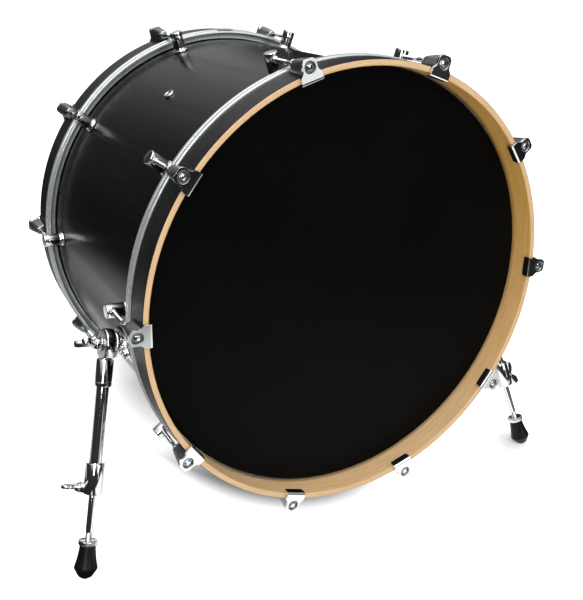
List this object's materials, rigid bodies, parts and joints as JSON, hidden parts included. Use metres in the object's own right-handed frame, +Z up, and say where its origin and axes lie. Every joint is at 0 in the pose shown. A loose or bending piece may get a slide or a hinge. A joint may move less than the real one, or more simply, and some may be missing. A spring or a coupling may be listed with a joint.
{
  "type": "bass drum",
  "caption": "Free-standing bass drum: black front head and wood hoops drawn tight by claw hooks and tension rods on turret lugs, carried on folding spur legs with rubber feet.",
  "frame": {"origin": "on the floor under the middle of the drum", "axes": "X across the drum from spur to spur, Y from the front head to the batter head, Z up"},
  "size_m": [0.7624, 0.5238, 0.6283],
  "materials": {
    "stained_wood": "satin stain",
    "maple": "clear satin",
    "black_film": "matt film",
    "coated_film": "coated film",
    "hoop_metal": "bright",
    "chrome": "polished",
    "rubber": "matt",
    "brass": "turned",
    "zinc_steel": "zinc plated"
  },
  "bodies": {
    "drum": {"shell": "stained_wood", "vent_grommet": "chrome", "vent_grommet_nut": "zinc_steel", "lugs": "chrome", "lug_gaskets": "rubber", "swivel_nuts": "brass", "shell_screws": "zinc_steel", "shell_washers": "zinc_steel", "front_head_film": "black_film", "front_flesh_hoop": "hoop_metal", "rear_head_film": "coated_film", "rear_flesh_hoop": "hoop_metal", "rear_flesh_hoop_sleeve": "hoop_metal", "spur_brackets": "chrome", "spur_bracket_gaskets": "rubber"},
    "front_hoop_set": {"front_hoop": "maple", "front_claws": "chrome", "front_claw_liners": "rubber", "front_rod_washers": "zinc_steel"},
    "front_rod_01": {"front_tension_rod_01": "chrome"},
    "front_rod_02": {"front_tension_rod_02": "chrome"},
    "front_rod_03": {"front_tension_rod_03": "chrome"},
    "front_rod_04": {"front_tension_rod_04": "chrome"},
    "front_rod_05": {"front_tension_rod_05": "chrome"},
    "front_rod_06": {"front_tension_rod_06": "chrome"},
    "front_rod_07": {"front_tension_rod_07": "chrome"},
    "front_rod_08": {"front_tension_rod_08": "chrome"},
    "front_rod_09": {"front_tension_rod_09": "chrome"},
    "front_rod_10": {"front_tension_rod_10": "chrome"},
    "rear_hoop_set": {"rear_hoop": "maple", "rear_claws": "chrome", "rear_claw_liners": "rubber", "rear_rod_washers": "zinc_steel"},
    "rear_rod_01": {"rear_tension_rod_01": "chrome"},
    "rear_rod_02": {"rear_tension_rod_02": "chrome"},
    "rear_rod_03": {"rear_tension_rod_03": "chrome"},
    "rear_rod_04": {"rear_tension_rod_04": "chrome"},
    "rear_rod_05": {"rear_tension_rod_05": "chrome"},
    "rear_rod_06": {"rear_tension_rod_06": "chrome"},
    "rear_rod_07": {"rear_tension_rod_07": "chrome"},
    "rear_rod_08": {"rear_tension_rod_08": "chrome"},
    "rear_rod_09": {"rear_tension_rod_09": "chrome"},
    "rear_rod_10": {"rear_tension_rod_10": "chrome"},
    "left_spur_leg": {"left_spur_leg_head": "chrome", "left_spur_leg_tube": "chrome", "left_spur_leg_collar": "chrome"},
    "left_pivot_bolt": {"left_spur_pivot_wing_bolt": "chrome"},
    "left_collar_screw": {"left_spur_collar_wing_screw": "chrome"},
    "left_leg_rod": {"left_spur_leg_rod": "chrome"},
    "left_foot": {"left_spur_rubber_foot": "rubber"},
    "left_lock_nut": {"left_spur_lock_nut": "chrome"},
    "right_spur_leg": {"right_spur_leg_head": "chrome", "right_spur_leg_tube": "chrome", "right_spur_leg_collar": "chrome"},
    "right_pivot_bolt": {"right_spur_pivot_wing_bolt": "chrome"},
    "right_collar_screw": {"right_spur_collar_wing_screw": "chrome"},
    "right_leg_rod": {"right_spur_leg_rod": "chrome"},
    "right_foot": {"right_spur_rubber_foot": "rubber"},
    "right_lock_nut": {"right_spur_lock_nut": "chrome"}
  },
  "joints": [
    {"name": "front_hoop_travel", "type": "slide", "parent": "drum", "child": "front_hoop_set", "axis": [0, -0.9969, 0.0791], "range_m": [0, 0.004]},
    {"name": "front_rod_01_turn", "type": "hinge", "parent": "front_hoop_set", "child": "front_rod_01", "pos_m": [-0.2423, -0.22004, 0.50818], "axis": [0, -0.9969, 0.0791], "range_deg": [0, 1370]},
    {"name": "front_rod_02_turn", "type": "hinge", "parent": "front_hoop_set", "child": "front_rod_02", "pos_m": [-0.09255, -0.21144, 0.61664], "axis": [0, -0.9969, 0.0791], "range_deg": [0, 1370]},
    {"name": "front_rod_03_turn", "type": "hinge", "parent": "front_hoop_set", "child": "front_rod_03", "pos_m": [0.09255, -0.21144, 0.61664], "axis": [0, -0.9969, 0.0791], "range_deg": [0, 1370]},
    {"name": "front_rod_04_turn", "type": "hinge", "parent": "front_hoop_set", "child": "front_rod_04", "pos_m": [0.2423, -0.22004, 0.50818], "axis": [0, -0.9969, 0.0791], "range_deg": [0, 1370]},
    {"name": "front_rod_05_turn", "type": "hinge", "parent": "front_hoop_set", "child": "front_rod_05", "pos_m": [0.2995, -0.23397, 0.33269], "axis": [0, -0.9969, 0.0791], "range_deg": [0, 1370]},
    {"name": "front_rod_06_turn", "type": "hinge", "parent": "front_hoop_set", "child": "front_rod_06", "pos_m": [0.2423, -0.24789, 0.1572], "axis": [0, -0.9969, 0.0791], "range_deg": [0, 1370]},
    {"name": "front_rod_07_turn", "type": "hinge", "parent": "front_hoop_set", "child": "front_rod_07", "pos_m": [0.09255, -0.25649, 0.04874], "axis": [0, -0.9969, 0.0791], "range_deg": [0, 1370]},
    {"name": "front_rod_08_turn", "type": "hinge", "parent": "front_hoop_set", "child": "front_rod_08", "pos_m": [-0.09255, -0.25649, 0.04874], "axis": [0, -0.9969, 0.0791], "range_deg": [0, 1370]},
    {"name": "front_rod_09_turn", "type": "hinge", "parent": "front_hoop_set", "child": "front_rod_09", "pos_m": [-0.2423, -0.24789, 0.1572], "axis": [0, -0.9969, 0.0791], "range_deg": [0, 1370]},
    {"name": "front_rod_10_turn", "type": "hinge", "parent": "front_hoop_set", "child": "front_rod_10", "pos_m": [-0.2995, -0.23397, 0.33269], "axis": [0, -0.9969, 0.0791], "range_deg": [0, 1370]},
    {"name": "rear_hoop_travel", "type": "slide", "parent": "drum", "child": "rear_hoop_set", "axis": [0, 0.9969, -0.0791], "range_m": [0, 0.004]},
    {"name": "rear_rod_01_turn", "type": "hinge", "parent": "rear_hoop_set", "child": "rear_rod_01", "pos_m": [0.2423, 0.24789, 0.47106], "axis": [0, 0.9969, -0.0791], "range_deg": [0, 1370]},
    {"name": "rear_rod_02_turn", "type": "hinge", "parent": "rear_hoop_set", "child": "rear_rod_02", "pos_m": [0.09255, 0.25649, 0.57952], "axis": [0, 0.9969, -0.0791], "range_deg": [0, 1370]},
    {"name": "rear_rod_03_turn", "type": "hinge", "parent": "rear_hoop_set", "child": "rear_rod_03", "pos_m": [-0.09255, 0.25649, 0.57952], "axis": [0, 0.9969, -0.0791], "range_deg": [0, 1370]},
    {"name": "rear_rod_04_turn", "type": "hinge", "parent": "rear_hoop_set", "child": "rear_rod_04", "pos_m": [-0.2423, 0.24789, 0.47106], "axis": [0, 0.9969, -0.0791], "range_deg": [0, 1370]},
    {"name": "rear_rod_05_turn", "type": "hinge", "parent": "rear_hoop_set", "child": "rear_rod_05", "pos_m": [-0.2995, 0.23397, 0.29557], "axis": [0, 0.9969, -0.0791], "range_deg": [0, 1370]},
    {"name": "rear_rod_06_turn", "type": "hinge", "parent": "rear_hoop_set", "child": "rear_rod_06", "pos_m": [-0.2423, 0.22004, 0.12008], "axis": [0, 0.9969, -0.0791], "range_deg": [0, 1370]},
    {"name": "rear_rod_07_turn", "type": "hinge", "parent": "rear_hoop_set", "child": "rear_rod_07", "pos_m": [-0.09255, 0.21144, 0.01162], "axis": [0, 0.9969, -0.0791], "range_deg": [0, 1370]},
    {"name": "rear_rod_08_turn", "type": "hinge", "parent": "rear_hoop_set", "child": "rear_rod_08", "pos_m": [0.09255, 0.21144, 0.01162], "axis": [0, 0.9969, -0.0791], "range_deg": [0, 1370]},
    {"name": "rear_rod_09_turn", "type": "hinge", "parent": "rear_hoop_set", "child": "rear_rod_09", "pos_m": [0.2423, 0.22004, 0.12008], "axis": [0, 0.9969, -0.0791], "range_deg": [0, 1370]},
    {"name": "rear_rod_10_turn", "type": "hinge", "parent": "rear_hoop_set", "child": "rear_rod_10", "pos_m": [0.2995, 0.23397, 0.29557], "axis": [0, 0.9969, -0.0791], "range_deg": [0, 1370]},
    {"name": "left_spur_fold", "type": "hinge", "parent": "drum", "child": "left_spur_leg", "pos_m": [-0.29751, -0.11609, 0.26316], "axis": [0.9695, -0.0194, -0.2444], "range_deg": [0, 100]},
    {"name": "left_pivot_bolt_turn", "type": "hinge", "parent": "drum", "child": "left_pivot_bolt", "pos_m": [-0.29751, -0.11609, 0.26316], "axis": [-0.9695, 0.0194, 0.2444], "range_deg": [0, 360]},
    {"name": "left_leg_extend", "type": "slide", "parent": "left_spur_leg", "child": "left_leg_rod", "axis": [-0.2345, -0.3644, -0.9013], "range_m": [-0.035, 0.045]},
    {"name": "left_collar_screw_turn", "type": "hinge", "parent": "left_spur_leg", "child": "left_collar_screw", "pos_m": [-0.33995, -0.18205, 0.10004], "axis": [-0.9037, 0.4233, 0.0639], "range_deg": [0, 360]},
    {"name": "left_foot_screw", "type": "slide", "parent": "left_leg_rod", "child": "left_foot", "axis": [0.2345, 0.3644, 0.9013], "range_m": [0, 0.006]},
    {"name": "left_lock_nut_turn", "type": "hinge", "parent": "left_foot", "child": "left_lock_nut", "pos_m": [-0.35519, -0.20573, 0.04146], "axis": [0.2345, 0.3644, 0.9013], "range_deg": [0, 1730]},
    {"name": "right_spur_fold", "type": "hinge", "parent": "drum", "child": "right_spur_leg", "pos_m": [0.29751, -0.11609, 0.26316], "axis": [0.9695, 0.0194, 0.2444], "range_deg": [0, 100]},
    {"name": "right_pivot_bolt_turn", "type": "hinge", "parent": "drum", "child": "right_pivot_bolt", "pos_m": [0.29751, -0.11609, 0.26316], "axis": [0.9695, 0.0194, 0.2444], "range_deg": [0, 360]},
    {"name": "right_leg_extend", "type": "slide", "parent": "right_spur_leg", "child": "right_leg_rod", "axis": [0.2345, -0.3644, -0.9013], "range_m": [-0.035, 0.045]},
    {"name": "right_collar_screw_turn", "type": "hinge", "parent": "right_spur_leg", "child": "right_collar_screw", "pos_m": [0.33995, -0.18205, 0.10004], "axis": [0.9037, 0.4233, 0.0639], "range_deg": [0, 360]},
    {"name": "right_foot_screw", "type": "slide", "parent": "right_leg_rod", "child": "right_foot", "axis": [-0.2345, 0.3644, 0.9013], "range_m": [0, 0.006]},
    {"name": "right_lock_nut_turn", "type": "hinge", "parent": "right_foot", "child": "right_lock_nut", "pos_m": [0.35519, -0.20573, 0.04146], "axis": [-0.2345, 0.3644, 0.9013], "range_deg": [0, 1730]}
  ],
  "couplings": [
    {"joint": "front_rod_01_turn", "follows": "front_hoop_travel", "rad_per_m": 5936.9},
    {"joint": "front_rod_02_turn", "follows": "front_hoop_travel", "rad_per_m": 5936.9},
    {"joint": "front_rod_03_turn", "follows": "front_hoop_travel", "rad_per_m": 5936.9},
    {"joint": "front_rod_04_turn", "follows": "front_hoop_travel", "rad_per_m": 5936.9},
    {"joint": "front_rod_05_turn", "follows": "front_hoop_travel", "rad_per_m": 5936.9},
    {"joint": "front_rod_06_turn", "follows": "front_hoop_travel", "rad_per_m": 5936.9},
    {"joint": "front_rod_07_turn", "follows": "front_hoop_travel", "rad_per_m": 5936.9},
    {"joint": "front_rod_08_turn", "follows": "front_hoop_travel", "rad_per_m": 5936.9},
    {"joint": "front_rod_09_turn", "follows": "front_hoop_travel", "rad_per_m": 5936.9},
    {"joint": "front_rod_10_turn", "follows": "front_hoop_travel", "rad_per_m": 5936.9},
    {"joint": "rear_rod_01_turn", "follows": "rear_hoop_travel", "rad_per_m": 5936.9},
    {"joint": "rear_rod_02_turn", "follows": "rear_hoop_travel", "rad_per_m": 5936.9},
    {"joint": "rear_rod_03_turn", "follows": "rear_hoop_travel", "rad_per_m": 5936.9},
    {"joint": "rear_rod_04_turn", "follows": "rear_hoop_travel", "rad_per_m": 5936.9},
    {"joint": "rear_rod_05_turn", "follows": "rear_hoop_travel", "rad_per_m": 5936.9},
    {"joint": "rear_rod_06_turn", "follows": "rear_hoop_travel", "rad_per_m": 5936.9},
    {"joint": "rear_rod_07_turn", "follows": "rear_hoop_travel", "rad_per_m": 5936.9},
    {"joint": "rear_rod_08_turn", "follows": "rear_hoop_travel", "rad_per_m": 5936.9},
    {"joint": "rear_rod_09_turn", "follows": "rear_hoop_travel", "rad_per_m": 5936.9},
    {"joint": "rear_rod_10_turn", "follows": "rear_hoop_travel", "rad_per_m": 5936.9},
    {"joint": "left_lock_nut_turn", "follows": "left_foot_screw", "rad_per_m": 5026.5},
    {"joint": "right_lock_nut_turn", "follows": "right_foot_screw", "rad_per_m": 5026.5}
  ]
}
